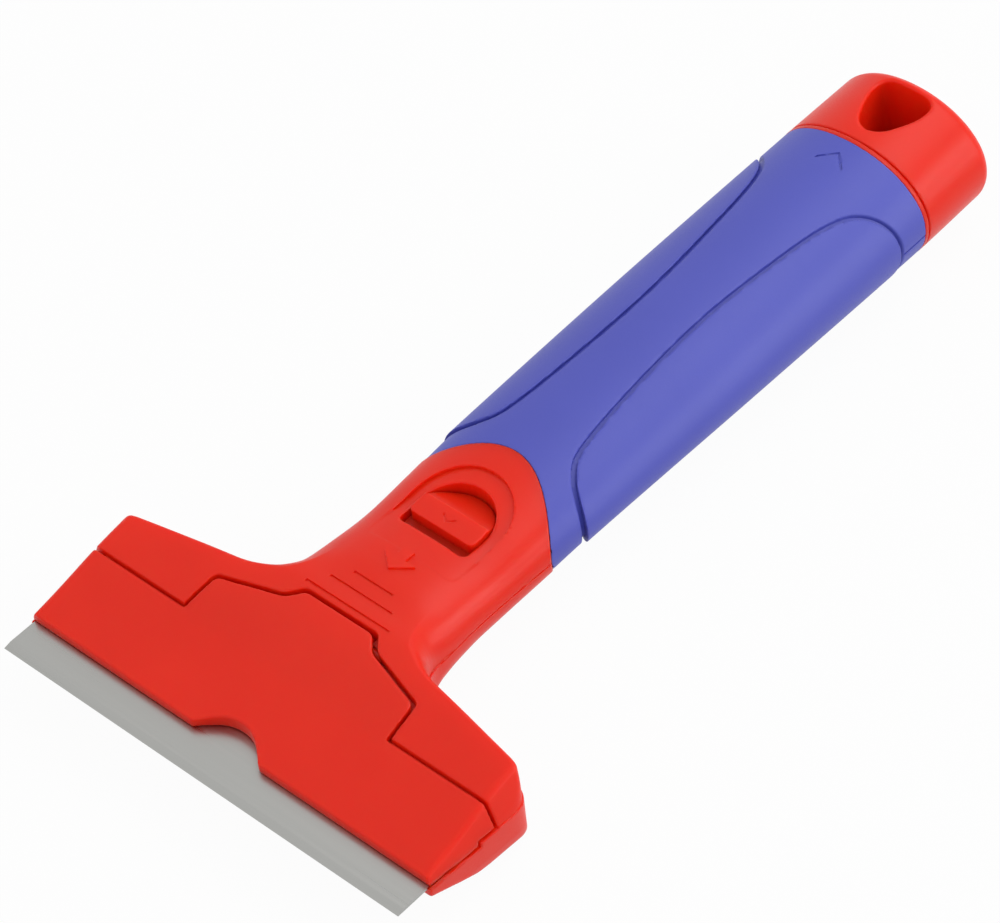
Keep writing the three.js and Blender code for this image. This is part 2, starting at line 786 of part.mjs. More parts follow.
// Blade lying along x, its cutting edge at y = 0 and its flat face at z = 0
function bladeGeometry() {
  const profile = [
    [0, 0],
    [bladeDepth, 0],
    [bladeDepth, bladeThickness],
    [bevelDepth, bladeThickness],
    [0, edgeThickness],
  ];
  return extruded(profile, -bladeWidth / 2, bladeWidth / 2).applyMatrix4(sideFrame);
}

// Assembly

const finishes = {
  redPlastic: { color: 0xdc3522, roughness: 0.45, metalness: 0 },
  blueRubber: { color: 0x5a60b6, roughness: 0.7, metalness: 0 },
  bladeSteel: { color: 0xaaa6a0, roughness: 0.35, metalness: 1 },
  springSteel: { color: 0x8c8f94, roughness: 0.3, metalness: 1 },
  darkPlastic: { color: 0x3a3b40, roughness: 0.55, metalness: 0 },
};

const scraper = new THREE.Group();
const assembly = new THREE.Group(); // measured from the cutting edge; the part is centred on its length
assembly.position.y = -capRear / 2;
scraper.add(assembly);

function add(name, geometry, finish) {
  const mesh = new THREE.Mesh(geometry, new THREE.MeshStandardMaterial(finishes[finish]));
  mesh.name = name;
  assembly.add(mesh);
  return mesh;
}

const head = headForm();
const whole = handle(stations[0].y, ringRear, 0);

add("body", surface(bodySolid(head, whole)), "redPlastic");
add("grip_sleeve", surface(gripSolid(whole)), "blueRubber");
add("blade_clamp", surface(clampSolid(head.add(whole))), "redPlastic");
const pin = rod(pinDiameter / 2, pivotY, pivotZ, -pinLength / 2, pinLength / 2);
add("hinge_pin", surface(pin), "springSteel");
add("blade", bladeGeometry(), "bladeSteel").position.z = seatHeight + contactGap;
add("thumb_slide", surface(thumbSlide()), "redPlastic");
add("latch_bar", surface(latchBar()), "darkPlastic");
add("return_spring", springGeometry(), "springSteel");
add("end_cap", surface(endCap()), "redPlastic");
add("spare_blade_tray", surface(spareTray()), "darkPlastic");
for (let k = 0; k < spareCount; k++) {
  const spare = add(`spare_blade_${k + 1}`, bladeGeometry(), "bladeSteel");
  spare.rotation.z = Math.PI / 2;
  const layer = spareFloor + k * (bladeThickness + spareGap);
  spare.position.set(bladeDepth / 2, spareFront + bladeWidth / 2, layer);
}

export default scraper;
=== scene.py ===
import json
import math

import bpy
import numpy as np
from mathutils import Matrix, Vector


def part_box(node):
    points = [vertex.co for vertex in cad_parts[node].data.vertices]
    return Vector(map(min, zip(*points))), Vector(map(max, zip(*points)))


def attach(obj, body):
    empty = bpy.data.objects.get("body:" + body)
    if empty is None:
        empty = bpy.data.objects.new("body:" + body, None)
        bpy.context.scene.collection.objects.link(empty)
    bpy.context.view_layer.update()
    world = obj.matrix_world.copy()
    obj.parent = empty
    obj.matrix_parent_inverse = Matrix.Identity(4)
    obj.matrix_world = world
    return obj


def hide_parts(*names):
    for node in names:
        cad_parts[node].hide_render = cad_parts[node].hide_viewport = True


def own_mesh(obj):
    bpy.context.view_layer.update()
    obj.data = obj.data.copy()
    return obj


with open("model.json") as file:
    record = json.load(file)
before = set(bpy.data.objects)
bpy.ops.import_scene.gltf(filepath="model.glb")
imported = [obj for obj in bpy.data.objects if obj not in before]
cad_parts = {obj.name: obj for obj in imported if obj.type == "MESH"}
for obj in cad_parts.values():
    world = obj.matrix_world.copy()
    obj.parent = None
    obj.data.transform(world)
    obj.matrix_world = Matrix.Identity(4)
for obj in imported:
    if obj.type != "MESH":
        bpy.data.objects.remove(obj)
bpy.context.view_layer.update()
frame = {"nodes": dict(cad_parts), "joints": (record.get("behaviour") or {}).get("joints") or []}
scene = bpy.context.scene
scene.view_settings.view_transform = "Standard"
mm = 0.001
far = 80.0  # beyond every outline, in millimetres
upperSide = 12.0  # what is marked on the top lies above this height
print("frame loaded:", len(frame["nodes"]), "nodes")

# Lengths below are in millimetres: x from the middle, y back from the cutting edge, z up from the floor
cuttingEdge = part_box("blade")[0].y


def spanOf(node, axis):
    shift = cuttingEdge if axis == 1 else 0.0
    return [(corner[axis] - shift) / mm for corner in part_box(node)]


def jointNamed(name):
    return next(joint for joint in frame["joints"] if joint["name"] == name)


bladeFoot, bladeTop = spanOf("blade", 2)
bladeRear = spanOf("blade", 1)[1]
seatGap = 0.1  # the blade lies just off its seat
seat = bladeFoot - seatGap
gripRear = spanOf("grip_sleeve", 1)[1]
ringRear = spanOf("body", 1)[1]
plugFront, capRear = spanOf("end_cap", 1)
clampFront = spanOf("blade_clamp", 1)[0]
slideFront, slideRear = spanOf("thumb_slide", 1)
hinge = jointNamed("clamp_hinge")["pos_m"]
hingeY, hingeZ = (hinge[1] - cuttingEdge) / mm, hinge[2] / mm
tongueReach, coverReach = 1.8, 0.65  # the tongue behind the pin, the cover ahead of its solid
tongueRear = hingeY + tongueReach
coverFront = clampFront - coverReach


# Distances: each field is negative inside the plastic, and edges are rounded where fields meet

def roundMax(a, b, r):
    u = np.maximum(a + r, 0.0)
    v = np.maximum(b + r, 0.0)
    return np.minimum(np.maximum(a, b), -r) + np.sqrt(u * u + v * v)


def roundMin(a, b, r):
    return -roundMax(-a, -b, r)


def cut(a, b, r):
    return roundMax(a, -b, r)


def most(*fields):
    result = fields[0]
    for other in fields[1:]:
        result = np.maximum(result, other)
    return result


def least(*fields):
    result = fields[0]
    for other in fields[1:]:
        result = np.minimum(result, other)
    return result


def between(value, low, high):
    return np.maximum(low - value, value - high)


def eased(t):  # 0 to 1 with level ends
    t = np.clip(t, 0.0, 1.0)
    return t * t * (3 - 2 * t)


def flow(*points):  # smooth curve through (place, value) points, level beyond its ends
    at = np.array([p[0] for p in points], float)
    values = np.array([p[1] for p in points], float)
    slope = np.gradient(values, at)
    slope[1:-1] = (values[2:] - values[:-2]) / (at[2:] - at[:-2])

    def value(y):
        y = np.clip(y, at[0], at[-1])
        k = np.clip(np.searchsorted(at, y) - 1, 0, len(at) - 2)
        span = at[k + 1] - at[k]
        t = (y - at[k]) / span
        rise = values[k + 1] - values[k]
        a, b = slope[k] * span, slope[k + 1] * span
        return values[k] + t * (a + t * (3 * rise - 2 * a - b + t * (a + b - 2 * rise)))

    return value


def rounded(points, steps=8):  # corners are (u, v) or (u, v, radius)
    corners = [(np.array(p[:2], float), p[2] if len(p) > 2 else 0.0) for p in points]
    made = []
    for k, (corner, radius) in enumerate(corners):
        if not radius:
            made.append(corner)
            continue
        ends = []
        for other in (corners[k - 1][0], corners[(k + 1) % len(corners)][0]):
            gap = other - corner
            length = np.hypot(*gap)
            ends.append(corner + gap * min(radius, 0.49 * length) / length)  # under half, so bends don't meet
        for t in np.linspace(0, 1, steps):
            made.append((1 - t) ** 2 * ends[0] + 2 * t * (1 - t) * corner + t * t * ends[1])
    return made


def bezier(a, b, c, d, steps=12):
    a, b, c, d = (np.array(p, float) for p in (a, b, c, d))
    ts = np.linspace(0, 1, steps)
    return [(1 - t) ** 3 * a + 3 * t * (1 - t) ** 2 * b + 3 * t * t * (1 - t) * c + t ** 3 * d for t in ts]


def outlineField(points):  # signed distance to a closed outline
    points = [(float(p[0]), float(p[1])) for p in points]

    def field(u, v):
        nearest, inside = 1e9, False
        for (au, av), (bu, bv) in zip(points, points[1:] + points[:1]):
            eu, ev = bu - au, bv - av
            length = eu * eu + ev * ev
            if length < 1e-12:
                continue
            t = np.clip(((u - au) * eu + (v - av) * ev) / length, 0.0, 1.0)
            nearest = np.minimum(nearest, (u - au - t * eu) ** 2 + (v - av - t * ev) ** 2)
            if ev:
                crosses = ((av > v) != (bv > v)) & (u < eu * (v - av) / ev + au)
                inside = inside ^ crosses
        return np.where(inside, -1.0, 1.0) * np.sqrt(nearest)

    return field


def rodField(radius, y0, z0):
    return lambda y, z: np.hypot(y - y0, z - z0) - radius


def slotField(p, q, radius):
    def field(y, z):
        ey, ez = q[0] - p[0], q[1] - p[1]
        t = np.clip(((y - p[0]) * ey + (z - p[1]) * ez) / (ey * ey + ez * ez), 0.0, 1.0)
        return np.hypot(y - p[0] - t * ey, z - p[1] - t * ez) - radius

    return field


# Skins: one mesh corner in each grid cell that the surface passes, set where the local planes meet

gridShift = 0.0137  # keeps the grid lines off flat faces


def rulings(*spans):  # grid lines from (from, to, step) stretches
    lines = [np.linspace(low, high, max(2, round((high - low) / step) + 1)) for low, high, step in spans]
    return np.unique(np.round(np.concatenate(lines), 4)) + gridShift


def sampled(field, axes, slab=48):
    x, y, z = (a.astype(np.float32) for a in axes)
    slices = []
    for k in range(0, len(y), slab):
        part = field(x[:, None, None], y[None, k:k + slab, None], z[None, None, :])
        slices.append(np.broadcast_to(part, (len(x), len(y[k:k + slab]), len(z))).astype(np.float32))
    return np.concatenate(slices, axis=1)


def leaning(field, p, h=0.02):  # unit normals of a field at points
    normal = np.empty_like(p)
    for axis in range(3):
        step = np.zeros(3)
        step[axis] = h
        ahead, behind = p + step, p - step
        normal[:, axis] = field(*ahead.T) - field(*behind.T)
    return normal / np.maximum(np.linalg.norm(normal, axis=1), 1e-9)[:, None]


def crossings(field, values, axes, axis):  # where grid edges along one axis meet the surface
    ahead = [slice(None)] * 3
    behind = [slice(None)] * 3
    behind[axis], ahead[axis] = slice(None, -1), slice(1, None)
    index = np.nonzero((values[tuple(behind)] < 0) != (values[tuple(ahead)] < 0))
    onward = list(index)
    onward[axis] = index[axis] + 1
    low, high = values[index].astype(float), values[tuple(onward)].astype(float)
    p = np.stack([axes[n][index[n]] for n in range(3)], 1)
    start, end = p[:, axis].copy(), axes[axis][index[axis] + 1]
    for _ in range(2):  # false position, twice
        p[:, axis] = start + (end - start) * low / (low - high)
        here = field(*p.T)
        same = (here < 0) == (low < 0)
        start, low = np.where(same, p[:, axis], start), np.where(same, here, low)
        end, high = np.where(same, end, p[:, axis]), np.where(same, high, here)
        flat = np.abs(low - high) < 1e-9
        high = np.where(flat, high + 1e-6, high)
    return np.stack(index, 1), p, values[index] < 0


skinDims = {"meanPull": 0.05, "sharpAngle": 48}


def skin(name, field, *axes):
    values = sampled(field, axes)
    shape = values.shape
    strides = np.array([shape[1] * shape[2], shape[2], 1])
    cells, points, normals = [], [], []
    for axis in range(3):
        index, p, outward = crossings(field, values, axes, axis)
        side, over = (axis + 1) % 3, (axis + 2) % 3
        quad = []
        for ds, do in ((-1, -1), (0, -1), (0, 0), (-1, 0)):
            cell = index.copy()
            cell[:, side] += ds
            cell[:, over] += do
            quad.append(cell @ strides)
        quad = np.stack(quad, 1)
        quad[~outward] = quad[~outward][:, ::-1]
        cells.append(quad)
        points.append(p)
        normals.append(leaning(field, p))
    cells, points, normals = (np.concatenate(part) for part in (cells, points, normals))
    used, quads = np.unique(cells, return_inverse=True)
    quads = quads.reshape(-1, 4)
    count = len(used)

    def gathered(weights):
        return np.bincount(quads.ravel(), np.repeat(weights, 4), count)

    number = gathered(np.ones(len(points)))
    mean = np.stack([gathered(points[:, n]) for n in range(3)], 1) / number[:, None]
    offset = (normals * points).sum(1)
    weight = skinDims["meanPull"]  # settles corners whose planes leave a direction open
    matrix = np.empty((count, 3, 3))
    target = np.empty((count, 3))
    for a in range(3):
        for b in range(3):
            matrix[:, a, b] = gathered(normals[:, a] * normals[:, b]) + (weight if a == b else 0.0)
        target[:, a] = gathered(normals[:, a] * offset) + weight * mean[:, a]
    corners = np.linalg.solve(matrix, target[..., None])[..., 0]
    place = np.stack(np.unravel_index(used, shape), 1)
    for n in range(3):
        low, high = axes[n][place[:, n]], axes[n][place[:, n] + 1]
        corners[:, n] = np.clip(corners[:, n], low, high)
    mesh = bpy.data.meshes.new(name)
    corners[:, 1] += cuttingEdge / mm
    mesh.from_pydata((corners * mm).tolist(), [], quads.tolist())
    mesh.validate()
    mesh.shade_smooth()
    mesh.set_sharp_from_angle(angle=math.radians(skinDims["sharpAngle"]))
    made = bpy.data.objects.new(name, mesh)
    scene.collection.objects.link(made)
    print(name, "skinned:", count, "corners")
    return made


def dressed(piece, body, node, material):
    piece.data.materials.clear()
    piece.data.materials.append(material)
    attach(piece, body)
    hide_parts(node)


# Materials

def newMaterial(name, roughness, metallic=0.0):
    material = bpy.data.materials.new(name)
    material.use_nodes = True
    shader = material.node_tree.nodes["Principled BSDF"]
    shader.inputs["Roughness"].default_value = roughness
    shader.inputs["Metallic"].default_value = metallic
    return material, material.node_tree.nodes, material.node_tree.links, shader


def grain(nodes, links, scale, detail=2.0, stretch=(1, 1, 1)):
    place = nodes.new("ShaderNodeTexCoord")
    mapping = nodes.new("ShaderNodeMapping")
    mapping.inputs["Scale"].default_value = stretch
    noise = nodes.new("ShaderNodeTexNoise")
    noise.inputs["Scale"].default_value = scale
    noise.inputs["Detail"].default_value = detail
    links.new(place.outputs["Object"], mapping.inputs["Vector"])
    links.new(mapping.outputs["Vector"], noise.inputs["Vector"])
    return noise.outputs["Fac"]


noiseSpan = (0.3, 0.7)  # most of a noise lies in this


def spread(nodes, links, value, low, high):
    remap = nodes.new("ShaderNodeMapRange")
    remap.inputs["From Min"].default_value, remap.inputs["From Max"].default_value = noiseSpan
    remap.inputs["To Min"].default_value = low
    remap.inputs["To Max"].default_value = high
    links.new(value, remap.inputs["Value"])
    return remap.outputs["Result"]


def tinted(nodes, links, factor, first, second):
    mix = nodes.new("ShaderNodeMix")
    mix.data_type = "RGBA"
    mix.inputs["A"].default_value = (*first, 1)
    mix.inputs["B"].default_value = (*second, 1)
    links.new(factor, mix.inputs["Factor"])
    return mix.outputs["Result"]


def bumped(nodes, links, shader, height, strength, distance):
    bump = nodes.new("ShaderNodeBump")
    bump.inputs["Strength"].default_value = strength
    bump.inputs["Distance"].default_value = distance
    links.new(height, bump.inputs["Height"])
    links.new(bump.outputs["Normal"], shader.inputs["Normal"])


mouldedDetail = {"drift": 3.0, "grain": 4.0, "sheenRoughness": 0.5}


def moulded(name, look):  # moulded plastic or rubber: slow colour drift, fine spark-eroded grain
    material, nodes, links, shader = newMaterial(name, look["roughness"][0])
    drift = grain(nodes, links, look["driftScale"], mouldedDetail["drift"])
    links.new(tinted(nodes, links, drift, look["deep"], look["pale"]), shader.inputs["Base Color"])
    fine = grain(nodes, links, look["grainScale"], mouldedDetail["grain"])
    links.new(spread(nodes, links, fine, *look["roughness"]), shader.inputs["Roughness"])
    bumped(nodes, links, shader, fine, look["bump"], look["grainDepth"])
    shader.inputs["Specular IOR Level"].default_value = look["gloss"]
    shader.inputs["Subsurface Weight"].default_value = look["glow"]
    shader.inputs["Subsurface Radius"].default_value = look["glowReach"]
    shader.inputs["Subsurface Scale"].default_value = mm
    shader.inputs["Sheen Weight"].default_value = look["sheen"]
    shader.inputs["Sheen Roughness"].default_value = mouldedDetail["sheenRoughness"]
    return material


redLook = {"deep": (0.67, 0.012, 0.001), "pale": (0.75, 0.018, 0.003), "driftScale": 45, "grainScale": 2600,
           "roughness": (0.30, 0.42), "bump": 0.12, "grainDepth": 0.00006, "gloss": 0.25, "sheen": 0.0,
           "glow": 0.7, "glowReach": (4.5, 0.35, 0.15)}
blueLook = {"deep": (0.056, 0.066, 0.39), "pale": (0.065, 0.076, 0.43), "driftScale": 50, "grainScale": 3200,
            "roughness": (0.44, 0.55), "bump": 0.2, "grainDepth": 0.00008, "gloss": 0.45, "sheen": 0.04,
            "glow": 0.1, "glowReach": (0.15, 0.15, 0.5)}
darkLook = {"deep": (0.032, 0.034, 0.04), "pale": (0.05, 0.052, 0.06), "driftScale": 60, "grainScale": 2400,
            "roughness": (0.45, 0.6), "bump": 0.2, "grainDepth": 0.00006, "gloss": 0.45, "sheen": 0.0,
            "glow": 0.0, "glowReach": (0.1, 0.1, 0.1)}
redPlastic = moulded("redPlastic", redLook)
blueRubber = moulded("blueRubber", blueLook)
darkPlastic = moulded("darkPlastic", darkLook)


steelLook = {"dull": (0.375, 0.375, 0.36), "bright": (0.405, 0.405, 0.39), "streak": (18, 1400, 1400),
             "roughness": (0.27, 0.35), "bump": 0.04, "depth": 0.00002, "detail": 5.0}
springLook = {"dull": (0.36, 0.37, 0.39), "bright": (0.5, 0.51, 0.53), "scale": 900, "detail": 3.0,
              "plain": 0.3, "roughness": (0.22, 0.36)}


def bladeSteel():
    look = steelLook
    material, nodes, links, shader = newMaterial("bladeSteel", look["roughness"][0], 1.0)
    streaks = grain(nodes, links, 1.0, look["detail"], look["streak"])  # rolled along the blade
    links.new(tinted(nodes, links, streaks, look["dull"], look["bright"]), shader.inputs["Base Color"])
    links.new(spread(nodes, links, streaks, *look["roughness"]), shader.inputs["Roughness"])
    bumped(nodes, links, shader, streaks, look["bump"], look["depth"])
    return material


def springSteel():
    look = springLook
    material, nodes, links, shader = newMaterial("springSteel", look["plain"], 1.0)
    drawn = grain(nodes, links, look["scale"], look["detail"])
    links.new(tinted(nodes, links, drawn, look["dull"], look["bright"]), shader.inputs["Base Color"])
    links.new(spread(nodes, links, drawn, *look["roughness"]), shader.inputs["Roughness"])
    return material


bladeFinish = bladeSteel()
springFinish = springSteel()
print("materials made")


# Forms that the body, the clamp and the grip share

headDims = {"frontHalf": 51.0, "rearHalf": 52.2, "parting": seat + 1.4, "lean": 0.38, "footLean": 0.08,
            "footRound": 9.6, "nose": coverFront + 0.3, "noseDepth": 1.8, "noseRound": 0.5,
            "heel": bladeRear + 8.0, "shoulderRear": 33.4, "rear": 38.8, "rearSlope": 1.6, "underRound": 2.5,
            "cornerRound": 5.5, "frontRound": 0.8, "neckCorner": (17.4, 40.1, 8.0), "neckHalf": 17.1,
            "neckEnd": 64.0, "underNeck": ((46.8, seat - 8.2, 3.0), (64.0, seat - 7.4)), "faceLean": 0.2,
            "partingRound": 0.4, "endRound": 1.0, "deckRound": 0.4, "deckScale": 0.96, "planSteps": 14}
deckAt = flow((coverFront, seat + 2.6), (16.1, seat + 4.8), (24.2, seat + 7.2), (32.2, seat + 8.9),
              (tongueRear, seat + 9.8), (46.8, seat + 10.2), (55.7, seat + 9.9), (63.8, seat + 9.4))
softAt = flow((coverFront, 0.4), (14.0, 0.8), (36.0, 0.9), (39.0, 1.6), (42.0, 4.0), (46.0, 6.5), (52.0, 8.0))
stepAt = flow((clampFront, 0.65), (24.2, 0.3), (30.0, 0.3))  # ends above the parting line stand back by this

parting = headDims["parting"]


def headOutlines():  # the ends, seen from the front; the head from above; the head from the side
    h = headDims
    half, flank, under = h["rearHalf"], h["shoulderRear"], h["underRound"]
    endLine = rounded([
        (-far, 0), (half - h["footLean"] * parting, 0, h["footRound"]), (half, parting, h["partingRound"]),
        (half - h["lean"] * parting, 2 * parting), (-far, 2 * parting)])
    plan = rounded([
        (-far, coverFront), (h["frontHalf"], coverFront, h["frontRound"]), (half, flank, h["cornerRound"]),
        h["neckCorner"], (h["neckHalf"], h["neckEnd"]), (-far, h["neckEnd"])], h["planSteps"])
    side = rounded([
        (coverFront, seat), (h["nose"], seat), (h["nose"], seat - h["noseDepth"], h["noseRound"]),
        (h["heel"], 0, under), (flank, 0, under), (h["rear"], h["rearSlope"], under), *h["underNeck"],
        (h["neckEnd"], far), (coverFront + h["faceLean"] * (far - seat), far)])
    return [outlineField(points) for points in (endLine, plan, side)]


endLine, headPlan, headSide = headOutlines()


def headField(x, y, z, drawnIn):
    h = headDims
    ax = np.abs(x)
    flankLength = h["shoulderRear"] - clampFront
    flare = (h["rearHalf"] - h["frontHalf"]) / flankLength
    taper = flare * np.clip(h["shoulderRear"] - y, 0.0, flankLength)
    walls = roundMax(headPlan(ax, y), endLine(ax + taper, z), h["endRound"])
    upper = walls + stepAt(y)
    if not drawnIn:
        upper = np.minimum(np.maximum(walls, z - parting), upper)
    deck = roundMax(headSide(y, z), (z - deckAt(y)) * h["deckScale"], h["deckRound"])
    return roundMax(upper, deck, softAt(y))


# Oval sections along the neck and handle: place, half width, top and foot from the seat, squareness
sections = [(36.8, 26.4, 9.6, 9.3, 5.0), (39.6, 22.6, 9.9, 9.0, 4.0), (42.2, 20.0, 10.1, 8.6, 3.6),
            (46.8, 18.0, 10.2, 8.2, 3.0), (55.7, 17.1, 9.9, 7.7, 2.7), (63.8, 17.0, 9.4, 7.4, 2.6),
            (75.3, 17.3, 10.4, 7.25, 2.5), (88.0, 17.9, 11.8, 7.1, 2.2), (136.8, 18.6, 14.4, 8.8, 2.1),
            (185.5, 18.6, 16.3, seat - 0.1, 2.1), (capRear, 18.3, 17.1, seat, 2.05)]
halfAt = flow(*[(s[0], s[1]) for s in sections])
topAt = flow(*[(s[0], seat + s[2]) for s in sections])
footAt = flow(*[(s[0], seat - s[3]) for s in sections])
powerAt = flow(*[(s[0], s[4]) for s in sections])


def ovalField(x, y, z, inset=0.0, wider=0.0):
    half = halfAt(y) + wider - inset
    top, foot, power = topAt(y), footAt(y), powerAt(y)
    rise = (top - foot) / 2 - inset
    u = np.maximum(np.abs(x) / half, 1e-3)
    w = np.maximum(np.abs(z - (top + foot) / 2) / rise, 1e-3)
    up, wp = u ** power, w ** power
    reach = (up + wp) ** (1 / power)
    steep = reach / (up + wp) * np.sqrt((up / u / half) ** 2 + (wp / w / rise) ** 2)
    return (reach - 1) / steep


neckDims = {"turnFrom": 43.0, "turnLength": 10.0, "ringRound": 0.3}


def wholeField(x, y, z, drawnIn=False):  # head and handle in one: the neck passes into its oval sections
    n = neckDims
    turn = eased((y - n["turnFrom"]) / n["turnLength"])
    head = headField(x, y, z, drawnIn)
    return roundMax(head + (ovalField(x, y, z) - head) * turn, y - ringRear, n["ringRound"])


seamDims = {"wingRear": 24.2, "keyHalf": 25.5, "keyTaper": 0.7, "keyRear": 32.2, "tongueHalf": 11.0,
            "tongueRoot": 36.3, "tongueEndHalf": 8.3, "round": 0.35, "overrun": 5.0,
            "wingRound": 0.8, "keyRound": 1.2, "tongueRound": 1.0}


def clampPlan(gap, rearGap):
    s = seamDims
    front, wing, rear = clampFront - s["overrun"], s["wingRear"] + gap, tongueRear + rearGap
    return outlineField(rounded([
        (-far, front), (far, front), (far, wing), (s["keyHalf"] + gap, wing, s["wingRound"]),
        (s["keyHalf"] - s["keyTaper"] + gap, s["keyRear"] + gap, s["keyRound"]),
        (s["tongueHalf"] + gap, s["tongueRoot"] + gap, s["keyRound"]),
        (s["tongueEndHalf"] + gap, rear, s["tongueRound"]), (-far, rear)]))


archShares = {"bend": 0.7, "crown": 0.6}


def archPlan(half, start, end, cornerRound):
    bend = end - min(half, archShares["bend"] * (end - start))
    curve = bezier((half, bend), (half, (bend + end) / 2), (archShares["crown"] * half, end), (0, end))
    return outlineField(rounded([(-far, start), (half, start, cornerRound), *curve, (-far, end)]))


collarDims = {"archTop": 88.0, "archFoot": 76.8, "half": 17.9, "crown": 8.0, "gap": 0.12, "ringWidth": 1.0,
              "steps": 20}


def gripPlan(setback):
    c = collarDims
    top, foot = c["archTop"] + setback, c["archFoot"] + setback
    flank = (c["half"] - 2 * (c["half"] - c["crown"]) / 3, foot + 2 * (top - foot) / 3)
    curve = bezier((0, top), (c["crown"] * 2 / 3, top), flank, (c["half"], foot), c["steps"])
    return outlineField([(-far, top), *curve, (far, foot), (far, 4 * far), (-far, 4 * far)])


# Body

bodyDims = {"ledgeFront": bladeRear + 0.3, "ledgeTop": seat + 1.5, "rim": seat + 0.5, "seamGap": 0.7,
            "rearSeamGap": 0.9, "seamFloor": seat + 6.0, "seamEnd": 47.0, "keyRoom": 2.15, "wellHalf": 8.5,
            "bladeRoom": 50.3, "wellFloor": seat - 3.0, "core": 2.3, "pocketFront": slideFront - 2.7,
            "pocketRear": slideRear + 0.3, "pocketHalf": 8.3, "pocketFloor": 17.0, "socketHalf": 15.1,
            "socketRadius": 1.5, "boreHalf": 10.6, "boreFront": 72.8, "boreFloor": 8.4, "boreRoof": 16.0,
            "endWall": 50.5, "endRim": seat + 0.1, "endLedge": seat + 1.2, "endBehind": 0.2, "wingGap": 0.15,
            "bladeRise": 0.5, "cavityHalf": 6.8, "cavityRear": 71.9, "cavityFloor": 9.8, "cavityRoof": 17.2,
            "pocketRound": 1.7, "pocketEdge": 0.4, "underRim": (-2.9, 0.6), "underRimHeight": 0.8,
            "gripEdge": 0.15}
markDims = {"lines": ((41.5, 10.5), (45.2, 7.7), (48.5, 4.8)), "lineHalf": 0.28, "depth": 0.4, "edge": 0.1,
            "arrowTip": 52.6, "arrowRoot": 55.8, "arrowTail": 58.4, "arrowHalf": 3.8, "stemHalf": 1.3,
            "raised": 0.45, "dishHalf": 10.7, "dishFront": 58.0, "dishRear": 82.0, "dishDepth": 0.75,
            "dishRound": 2.0, "dishEdge": 0.2, "fadeFrom": 60.0, "fadeLength": 12.0,
            "partingHalf": 0.15, "partingDepth": 0.15, "partingSpan": (44, 86), "partingEdge": 0.05}


def arrowOutline():
    m = markDims
    tip, root, tail, stem = m["arrowTip"], m["arrowRoot"], m["arrowTail"], m["stemHalf"]
    return outlineField([
        (-0.01, tip), (m["arrowHalf"], root), (stem, root), (stem, tail), (-far, tail), (-far, tip)])


arrowPlan = arrowOutline()
clampRoomPlan = clampPlan(bodyDims["seamGap"], bodyDims["rearSeamGap"])
gripRoomPlan = gripPlan(0.0)
pocketPlan = archPlan(bodyDims["pocketHalf"], bodyDims["pocketFront"], bodyDims["pocketRear"],
                      bodyDims["pocketRound"])
dishPlan = archPlan(markDims["dishHalf"], markDims["dishFront"], markDims["dishRear"], markDims["dishRound"])
socketRod = rodField(bodyDims["socketRadius"], hingeY, hingeZ)


def bodyField(x, y, z):
    d, m, s = bodyDims, markDims, seamDims
    ax = np.abs(x)
    outer = wholeField(x, y, z)
    dish = m["dishDepth"] * eased((y - m["fadeFrom"]) / m["fadeLength"])
    shell = cut(outer, most(dishPlan(ax, y), -(outer + dish), upperSide - z), m["dishEdge"])
    for place, half in m["lines"]:
        line = most(np.abs(y - place) - m["lineHalf"], ax - half, -(outer + m["depth"]), upperSide - z)
        shell = cut(shell, line, m["edge"])
    raised = most(arrowPlan(ax, y), outer - m["raised"], upperSide - z)
    shell = roundMin(shell, raised, m["edge"])
    line = most(np.abs(z - parting) - m["partingHalf"], -(outer + m["partingDepth"]),
                between(y, *m["partingSpan"]))
    shell = cut(shell, line, m["partingEdge"])
    ringFront = ringRear - collarDims["ringWidth"]
    shell = cut(shell, most(gripRoomPlan(ax, y), y - ringFront), d["gripEdge"])
    core = most(ovalField(x, y, z, d["core"]), d["pocketRear"] - y, y - ringRear)
    shell = np.minimum(shell, core)
    wing = y - s["wingRear"]
    room = least(most(y - d["ledgeFront"], d["rim"] - z), most(wing - d["wingGap"], d["ledgeTop"] - z),
                 most(wing - d["seamGap"], d["seamFloor"] - z),
                 most(d["seamEnd"] - ax, wing - d["seamGap"], d["ledgeTop"] - z),
                 most(ax - s["keyHalf"] - d["seamGap"], -wing, deckAt(y) - d["keyRoom"] - z),
                 most(ax - d["wellHalf"], -wing, d["wellFloor"] - z),
                 most(d["endWall"] - ax, y - d["ledgeFront"] - d["endBehind"], d["endRim"] - z),
                 most(d["endWall"] - ax, d["endLedge"] - z))
    shell = cut(shell, most(clampRoomPlan(ax, y), room), s["round"])
    bladeRoom = most(ax - d["bladeRoom"], y - d["ledgeFront"], between(z, seat, d["rim"] + d["bladeRise"]))
    shell = np.maximum(shell, -bladeRoom)
    socket = most(ax - d["socketHalf"], socketRod(y, z))
    cavity = most(ax - d["cavityHalf"], between(y, tongueRear, d["cavityRear"]),
                  between(z, d["cavityFloor"], d["cavityRoof"]))
    underRim = most(ax - d["pocketHalf"], between(y - d["pocketFront"], *d["underRim"]),
                    between(z, d["pocketFloor"], d["pocketFloor"] + d["underRimHeight"]))
    bore = most(ax - d["boreHalf"], d["boreFront"] - y, between(z, d["boreFloor"], d["boreRoof"]))
    shell = np.maximum(shell, -least(socket, cavity, bore))
    shell = cut(shell, most(pocketPlan(ax, y), d["pocketFloor"] - z), d["pocketEdge"])
    return np.maximum(shell, -underRim)


